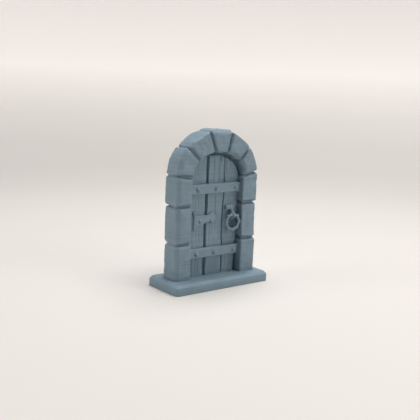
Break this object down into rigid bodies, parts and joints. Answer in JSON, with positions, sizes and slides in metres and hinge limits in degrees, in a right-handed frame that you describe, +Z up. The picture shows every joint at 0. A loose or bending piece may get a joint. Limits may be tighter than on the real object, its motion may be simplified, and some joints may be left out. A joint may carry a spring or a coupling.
{
  "type": "miniature dungeon door",
  "caption": "Table-top game miniature of a closed plank door with iron straps, a hinge and a ring pull, in a rough stone arch on a bevelled base.",
  "frame": {"origin": "middle of the base's underside", "axes": "+Z up, -Y out of the door's front, +X to the right seen from the front"},
  "size_m": [0.04, 0.0176, 0.0547],
  "materials": {
    "print": "matte printed"
  },
  "bodies": {
    "root": {"dungeon_door": "print"}
  },
  "joints": []
}
